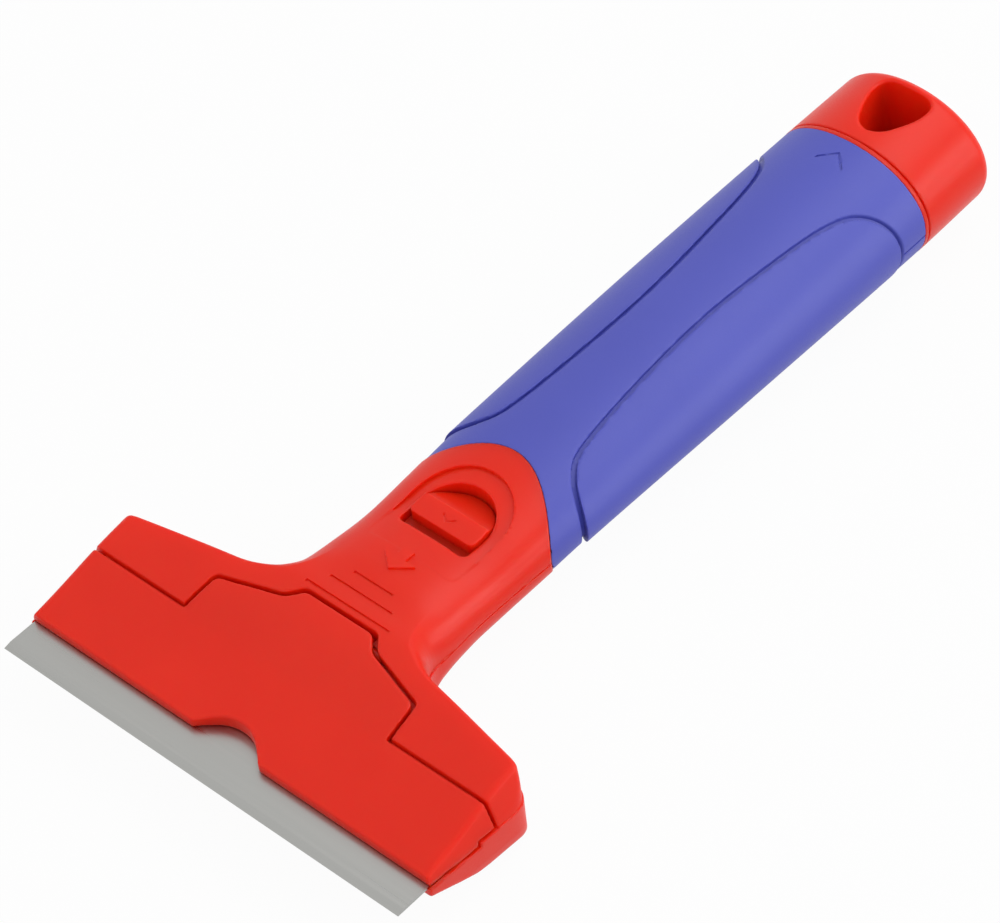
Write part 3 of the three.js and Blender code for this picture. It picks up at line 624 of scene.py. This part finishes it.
bodyLines = (
    rulings((-53.4, -49.4, 0.25), (-49.4, -27.0, 0.7), (-27.0, -7.0, 0.36), (-7.0, 7.0, 0.24),
            (7.0, 27.0, 0.36), (27.0, 49.4, 0.7), (49.4, 53.4, 0.25)),
    rulings((7.0, 24.0, 0.4), (24.0, 40.0, 0.32), (40.0, 50.0, 0.2), (50.0, 60.0, 0.25), (60.0, 76.0, 0.32),
            (76.0, 89.4, 0.24), (89.4, 186.0, 2.0), (186.0, 189.4, 0.2)),
    rulings((-0.8, 11.4, 0.4), (11.4, 13.0, 0.16), (13.0, 19.6, 0.34), (19.6, 22.0, 0.24), (22.0, 28.4, 0.4)))
dressed(skin("scraper_body", bodyField, *bodyLines), "handle", "body", redPlastic)


# Blade clamp

clampDims = {"plate": 1.6, "underside": bladeTop + 0.1, "overLedge": seat + 1.8, "underRound": 0.25,
             "notchMouth": (12.2, clampFront - 6.0), "notchLip": (8.7, clampFront - 0.1, 2.6),
             "notchBottom": (3.0, 12.7, 3.0), "notchEdge": 0.5, "barrelRadius": 2.6, "barrelHalf": 8.3,
             "collarRadius": 1.36, "collarHalf": 12.5, "armInner": 3.6, "armOuter": 6.2, "armRadius": 1.0,
             "armRise": 0.58, "beadRadius": 1.2, "beadY": hingeY + 8.6, "beadZ": hingeZ - 2.3}
notchPlan = outlineField(rounded([
    (-far, clampDims["notchMouth"][1]), clampDims["notchMouth"], clampDims["notchLip"],
    clampDims["notchBottom"], (-far, clampDims["notchBottom"][1])]))
clampEdgePlan = clampPlan(0.0, 0.0)
barrelRod = rodField(clampDims["barrelRadius"], hingeY, hingeZ)
collarRod = rodField(clampDims["collarRadius"], hingeY, hingeZ)
armSlot = slotField((hingeY, clampDims["beadZ"] + clampDims["armRise"]),
                    (clampDims["beadY"], clampDims["beadZ"]), clampDims["armRadius"])
beadRod = rodField(clampDims["beadRadius"], clampDims["beadY"], clampDims["beadZ"])


def clampField(x, y, z):
    d = clampDims
    ax = np.abs(x)
    room = least(most(ax - seamDims["keyHalf"], deckAt(y) - d["plate"] - z, bladeRear - y),
                 most(y - bladeRear, d["underside"] - z), most(y - seamDims["wingRear"], d["overLedge"] - z))
    shell = roundMax(wholeField(x, y, z, True), clampEdgePlan(ax, y), seamDims["round"])
    shell = roundMax(shell, room, d["underRound"])
    shell = cut(shell, notchPlan(ax, y), d["notchEdge"])
    barrel = least(most(ax - d["barrelHalf"], barrelRod(y, z)), most(ax - d["collarHalf"], collarRod(y, z)))
    arms = most(between(ax, d["armInner"], d["armOuter"]), np.minimum(armSlot(y, z), beadRod(y, z)))
    bead = most(ax - d["armOuter"], beadRod(y, z))
    return least(shell, barrel, arms, bead)


clampLines = (
    rulings((-53.4, -27.0, 0.5), (-27.0, 27.0, 0.36), (27.0, 53.4, 0.5)),
    rulings((7.0, 14.0, 0.26), (14.0, 23.0, 0.4), (23.0, 41.0, 0.3), (41.0, 48.4, 0.4)),
    rulings((10.4, 22.0, 0.28)))
dressed(skin("scraper_clamp", clampField, *clampLines), "clamp", "blade_clamp", redPlastic)


# Thumb slide

slideDims = {"half": 8.0, "base": 17.2, "blockLength": 4.8, "sink": 0.3, "step": 0.45, "dish": 2.7,
             "cornerRound": 1.5, "edgeRound": 0.25, "stemHalf": 3.2, "stemFront": 67.1, "stemRear": 70.1,
             "stemFoot": 14.9, "overlap": 0.3, "markTip": 1.8, "markSlope": 0.7, "markScale": 0.82,
             "markLine": 0.2, "markHalf": 1.6, "markDepth": 0.2, "markEdge": 0.08, "apronLength": 2.35,
             "apronUnder": 1.0, "apronThickness": 0.3, "rampReach": 2.4, "rampSag": 0.9, "rampDip": 0.1,
             "rampOverrun": 0.4, "rearOverrun": 1.0, "rearRise": 0.2}
slidePlan = archPlan(slideDims["half"], slideFront, slideRear, slideDims["cornerRound"])
blockRear = slideFront + slideDims["blockLength"]
blockTop = float(topAt(blockRear)) - slideDims["sink"]
rampFront, rampRear = blockTop - slideDims["step"], blockTop - slideDims["dish"]


def slideOutline():  # from the side: the block in front, the hollow ramp behind it
    d = slideDims
    reach, behind = d["rampReach"], slideRear + d["rearOverrun"]
    ramp = bezier((slideRear + d["rampOverrun"], rampRear), (slideRear - reach, rampRear - d["rampDip"]),
                  (blockRear + reach, rampFront - d["rampSag"]), (blockRear, rampFront))
    return outlineField([
        (slideFront, d["base"]), (behind, d["base"]), (behind, rampRear + d["rearRise"]), *ramp,
        (blockRear, blockTop), (slideFront, float(topAt(slideFront)) - d["sink"])])


slideSide = slideOutline()


def slideField(x, y, z):
    d = slideDims
    ax = np.abs(x)
    pad = roundMax(slidePlan(ax, y), slideSide(y, z), d["edgeRound"])
    tip = slideFront + d["markTip"] + d["markSlope"] * ax  # small arrow pressed into the block
    line = np.abs(y - tip) * d["markScale"] - d["markLine"]
    mark = most(line, ax - d["markHalf"], rampRear - z, -(pad + d["markDepth"]))
    stem = most(ax - d["stemHalf"], between(y, d["stemFront"], d["stemRear"]),
                between(z, d["stemFoot"], d["base"] + d["overlap"]))
    apron = most(ax - d["half"], between(y - slideFront, -d["apronLength"], d["apronUnder"]),
                 between(z, d["base"], d["base"] + d["apronThickness"]))
    return least(cut(pad, mark, d["markEdge"]), stem, apron)


slideLines = (rulings((-9.0, 9.0, 0.22)), rulings((slideFront - 3.0, slideRear + 0.8, 0.2)),
              rulings((14.2, 21.6, 0.2)))
dressed(skin("thumb_slide_pad", slideField, *slideLines), "slide", "thumb_slide", redPlastic)


# Soft grip

gripDims = {"thickness": 2.0, "padWider": (0.42, 0.25), "sleeveNarrower": (0.3, 0.05), "grooveHalf": 0.5,
            "grooveDepth": 0.75, "grooveEdge": 0.2, "padRound": 0.35, "edgeRound": 0.15, "rearGap": 0.2,
            "markTip": 183.6, "markRoot": 180.4, "markHalf": 3.3, "markLine": 0.26, "markDepth": 0.3,
            "seamHalf": 0.22, "seamDepth": 0.25, "seamDrop": 1.0, "lineEdge": 0.1}
padPath = [(20.4, 85.4), (12.4, 90.9), (9.0, 99.5), (7.1, 128.0), (8.1, 150.5), (11.4, 172.0), (20.4, 180.6)]


def smoothPath(points, steps=10):  # through every point, ends included
    p = np.array([points[0], *points, points[-1]], float)
    made = []
    for a, b, c, d in zip(p, p[1:], p[2:], p[3:]):
        bend, twist = 2 * a - 5 * b + 4 * c - d, 3 * b - a - 3 * c + d
        for t in np.linspace(0, 1, steps, endpoint=False):
            made.append(0.5 * (2 * b + (c - a) * t + bend * t * t + twist * t ** 3))
    return [*made, p[-1]]


padPlan = outlineField([*smoothPath(padPath), (2 * far, padPath[-1][1]), (2 * far, padPath[0][1])])
sleevePlan = gripPlan(collarDims["gap"])


def gripField(x, y, z):
    d = gripDims
    ax = np.abs(x)
    pad2d = padPlan(ax, y)
    ends = (padPath[0][1], padPath[-1][1])
    sleeve = ovalField(x, y, z, 0.0, -np.interp(y, ends, d["sleeveNarrower"]))
    pad = roundMax(ovalField(x, y, z, 0.0, np.interp(y, ends, d["padWider"])), pad2d, d["padRound"])
    outer = np.minimum(sleeve, pad)
    groove = most(np.abs(pad2d - d["grooveHalf"]) - d["grooveHalf"], -(sleeve + d["grooveDepth"]))
    outer = cut(outer, groove, d["grooveEdge"])
    slope = (d["markTip"] - d["markRoot"]) / d["markHalf"]
    line = np.abs(y - d["markTip"] + slope * ax) / math.hypot(1, slope) - d["markLine"]
    mark = most(line, ax - d["markHalf"], -(sleeve + d["markDepth"]), upperSide - z)
    outer = cut(outer, mark, d["lineEdge"])
    middle = (topAt(y) + footAt(y)) / 2 - d["seamDrop"]
    seam = most(np.abs(z - middle) - d["seamHalf"], -(sleeve + d["seamDepth"]), padPath[-1][1] - y)
    outer = cut(outer, seam, d["lineEdge"])
    outer = roundMax(outer, most(sleevePlan(ax, y), y - gripRear - d["rearGap"]), d["edgeRound"])
    return np.maximum(outer, -ovalField(x, y, z, d["thickness"]))


gripLines = (rulings((-20.2, -4.4, 0.36), (-4.4, 4.4, 0.2), (4.4, 20.2, 0.36)),
             rulings((76.2, 90.0, 0.26), (90.0, 176.0, 0.42), (176.0, 188.2, 0.18)),
             rulings((-0.6, 28.4, 0.36)))
dressed(skin("soft_grip", gripField, *gripLines), "handle", "grip_sleeve", blueRubber)


# End cap

capDims = {"front": ringRear + 0.3, "round": 2.8, "edgeRound": 0.35, "holeFront": ringRear + 3.6,
           "holeLength": 14.4, "holeHalf": 6.6, "holeShoulder": 8.6, "holeRear": 6.4, "holeRound": 3.6,
           "holeTip": 2.6, "holeSteps": 12, "lipRound": 0.6, "holeDraft": 0.1, "draftDepth": 13.0,
           "plugHalf": 10.3, "plugFloor": 8.7, "plugRoof": 15.7, "plugWall": 1.2, "plugRoot": 2.0}


def holeOutline():  # three-cornered, its widest part towards the cap's end
    d = capDims
    front, bend, steps = d["holeFront"], d["holeRound"], d["holeSteps"]
    rear = front + d["holeLength"]
    return outlineField(rounded([
        (-far, front), (d["holeTip"], front, bend), (d["holeHalf"], front + d["holeShoulder"], bend),
        (d["holeRear"], rear, bend), (-far, rear)], steps))


holePlan = holeOutline()


def capField(x, y, z):
    d = capDims
    ax = np.abs(x)
    shell = roundMax(ovalField(x, y, z), y - capRear, d["round"])
    shell = roundMax(shell, d["front"] - y, d["edgeRound"])
    depth = np.clip(topAt(capRear) - z, 0.0, d["draftDepth"])
    shell = cut(shell, holePlan(ax, y) + d["holeDraft"] * depth, d["lipRound"])  # the hole narrows downwards
    root = d["front"] + d["plugRoot"]
    plug = most(ax - d["plugHalf"], between(y, plugFront, root), between(z, d["plugFloor"], d["plugRoof"]))
    socket = most(ax - d["plugHalf"] + d["plugWall"], y - root,
                  between(z, d["plugFloor"] + d["plugWall"], d["plugRoof"] - d["plugWall"]))
    return np.maximum(np.minimum(shell, plug), -socket)


capRim = capDims["front"] - 0.6  # the plug before it needs fewer lines
capLines = (rulings((-19.6, 19.6, 0.36)),
            rulings((plugFront - 1, capRim, 0.6), (capRim, capRear + 0.8, 0.32)),
            rulings((-0.8, 28.6, 0.36)))
dressed(skin("hanging_cap", capField, *capLines), "cap", "end_cap", redPlastic)


# Return spring: a smooth coil in the place of its solid

springDims = {"turns": 6, "wire": 0.6, "stepsPerTurn": 24, "roundSteps": 3}


def returnSpring():
    low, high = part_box("return_spring")
    wire = springDims["wire"] * mm
    radius = (high.x - low.x - wire) / 2
    steps = springDims["turns"] * springDims["stepsPerTurn"]
    curve = bpy.data.curves.new("coil_spring", "CURVE")
    curve.dimensions = "3D"
    curve.bevel_depth = wire / 2
    curve.bevel_resolution = springDims["roundSteps"]
    curve.use_fill_caps = True
    path = curve.splines.new("POLY")
    path.points.add(steps)
    for k, point in enumerate(path.points):
        turn = 2 * math.pi * k / springDims["stepsPerTurn"]
        y = low.y + wire / 2 + (high.y - low.y - wire) * k / steps
        point.co = (radius * math.cos(turn), y, (low.z + high.z) / 2 + radius * math.sin(turn), 1)
    coil = bpy.data.objects.new("coil_path", curve)
    scene.collection.objects.link(coil)
    bpy.context.view_layer.update()
    mesh = bpy.data.meshes.new_from_object(coil.evaluated_get(bpy.context.evaluated_depsgraph_get()))
    mesh.shade_smooth()
    bpy.data.objects.remove(coil)
    spring = bpy.data.objects.new("coil_spring", mesh)
    scene.collection.objects.link(spring)
    dressed(spring, "handle", "return_spring", springFinish)
    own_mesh(spring)


returnSpring()
print("spring coiled")


# Nodes whose shape is right keep it, with finer edges and a finish

plainDims = {"spares": 10, "pinEdge": 0.2, "barEdge": 0.15, "trayEdge": 0.2, "edgeSteps": 2}


def finished(node, material, bevel=0.0):
    piece = frame["nodes"][node]
    for place in piece.material_slots:
        place.material = material
    if bevel:
        edges = piece.modifiers.new("edges", "BEVEL")
        edges.width = bevel * mm
        edges.segments = plainDims["edgeSteps"]
        edges.limit_method = "ANGLE"


finished("blade", bladeFinish)
for number in range(plainDims["spares"]):
    finished(f"spare_blade_{number + 1}", bladeFinish)
finished("hinge_pin", springFinish, plainDims["pinEdge"])
finished("latch_bar", darkPlastic, plainDims["barEdge"])
finished("spare_blade_tray", darkPlastic, plainDims["trayEdge"])
print("pieces dressed")


# Floor, light and camera

stageDims = {"floorHalf": 3.0, "floorColour": (0.6, 0.6, 0.6), "floorRoughness": 0.9, "whiteness": 0.96,
             "daylight": (1.05, 0.55)}  # from the front, from behind


def emitter(nodes, kind, strength):
    light = nodes.new(kind)
    light.inputs["Color"].default_value = (1, 1, 1, 1)
    light.inputs["Strength"].default_value = strength
    return light.outputs[0]


def blend(nodes, links, factor, first, second):
    mix = nodes.new("ShaderNodeMixShader")
    links.new(factor, mix.inputs["Fac"])
    links.new(first, mix.inputs[1])
    links.new(second, mix.inputs[2])
    return mix.outputs[0]


def seenRays(nodes, links):  # 1 on rays from the camera and on those mirrored or passed on by the object
    path = nodes.new("ShaderNodeLightPath")
    seen = path.outputs["Is Camera Ray"]
    for kind in ("Is Glossy Ray", "Is Transmission Ray"):
        either = nodes.new("ShaderNodeMath")
        either.operation = "MAXIMUM"
        links.new(seen, either.inputs[0])
        links.new(path.outputs[kind], either.inputs[1])
        seen = either.outputs[0]
    return seen


def makeFloor():  # seen almost white, so only a faint shadow shows
    half = stageDims["floorHalf"]
    mesh = bpy.data.meshes.new("floor")
    corners = [(-half, -half, 0), (half, -half, 0), (half, half, 0), (-half, half, 0)]
    mesh.from_pydata(corners, [], [(0, 1, 2, 3)])
    floor = bpy.data.objects.new("floor", mesh)
    scene.collection.objects.link(floor)
    material, nodes, links, shader = newMaterial("paleFloor", stageDims["floorRoughness"])
    shader.inputs["Base Color"].default_value = (*stageDims["floorColour"], 1)
    shader.inputs["Specular IOR Level"].default_value = 0.0
    share = nodes.new("ShaderNodeMapRange")
    share.inputs["To Max"].default_value = stageDims["whiteness"]
    links.new(seenRays(nodes, links), share.inputs["Value"])
    white = emitter(nodes, "ShaderNodeEmission", 1.0)
    surface = blend(nodes, links, share.outputs["Result"], shader.outputs[0], white)
    links.new(surface, nodes["Material Output"].inputs["Surface"])
    mesh.materials.append(material)


def makeWorld():  # white where it is seen, softer where it lights
    world = bpy.data.worlds.new("studio")
    world.use_nodes = True
    nodes, links = world.node_tree.nodes, world.node_tree.links
    nodes.remove(nodes["Background"])
    place = nodes.new("ShaderNodeTexCoord")
    parts = nodes.new("ShaderNodeSeparateXYZ")
    fall = nodes.new("ShaderNodeMapRange")
    fall.inputs["From Min"].default_value = -1.0
    fall.inputs["To Min"].default_value, fall.inputs["To Max"].default_value = stageDims["daylight"]
    daylight = nodes.new("ShaderNodeBackground")
    links.new(place.outputs["Generated"], parts.inputs["Vector"])
    links.new(parts.outputs["Y"], fall.inputs["Value"])
    links.new(fall.outputs["Result"], daylight.inputs["Strength"])
    daylight.inputs["Color"].default_value = (1, 1, 1, 1)
    white = emitter(nodes, "ShaderNodeBackground", 1.0)
    surface = blend(nodes, links, seenRays(nodes, links), daylight.outputs[0], white)
    links.new(surface, nodes["World Output"].inputs["Surface"])
    scene.world = world


def makeLamp(name, place, target, size, power):
    lamp = bpy.data.lights.new(name, "AREA")
    lamp.shape = "RECTANGLE"
    lamp.size, lamp.size_y = size
    lamp.energy = power
    made = bpy.data.objects.new(name, lamp)
    made.location = place
    made.rotation_euler = (Vector(target) - Vector(place)).to_track_quat("-Z", "Y").to_euler()
    scene.collection.objects.link(made)


makeFloor()
makeWorld()
lamps = {
    "overheadSoftbox": {"place": (0.15, 0.6, 1.05), "target": (0, 0, 0), "size": (0.8, 0.6), "power": 3.9},
    "rightSoftbox": {"place": (1.0, 0.66, 0.62), "target": (0, 0, 0.01), "size": (0.42, 0.36), "power": 3.6},
    "lowStrip": {"place": (1.1, 0.62, 0.15), "target": (0, 0, 0.01), "size": (0.9, 0.18), "power": 2.4}}
for name, lamp in lamps.items():
    makeLamp(name, **lamp)

cameraDims = {"azimuth": 46.972, "elevation": 46.718, "roll": -6.814, "focalPixels": 4620.2,
              "pictureWidth": 1000, "sensor": 36.0, "distance": 0.88794,
              "aim": (-0.013395, -0.008253, 0.003918)}


def makeCamera():
    c = cameraDims
    az, el, roll = (math.radians(c[key]) for key in ("azimuth", "elevation", "roll"))
    back = Vector((math.sin(az) * math.cos(el), -math.cos(az) * math.cos(el), math.sin(el)))
    level = Vector((math.cos(az), math.sin(az), 0))
    rise = back.cross(level)
    right = math.cos(roll) * level + math.sin(roll) * rise
    up = math.cos(roll) * rise - math.sin(roll) * level
    lens = bpy.data.cameras.new("camera")
    lens.sensor_width = c["sensor"]
    lens.lens = c["focalPixels"] * lens.sensor_width / c["pictureWidth"]
    camera = bpy.data.objects.new("camera", lens)
    turned = Matrix((right, up, back)).transposed().to_4x4()
    camera.matrix_world = Matrix.Translation(Vector(c["aim"]) + back * c["distance"]) @ turned
    scene.collection.objects.link(camera)
    scene.camera = camera


makeCamera()
print("floor, lamps and camera set")
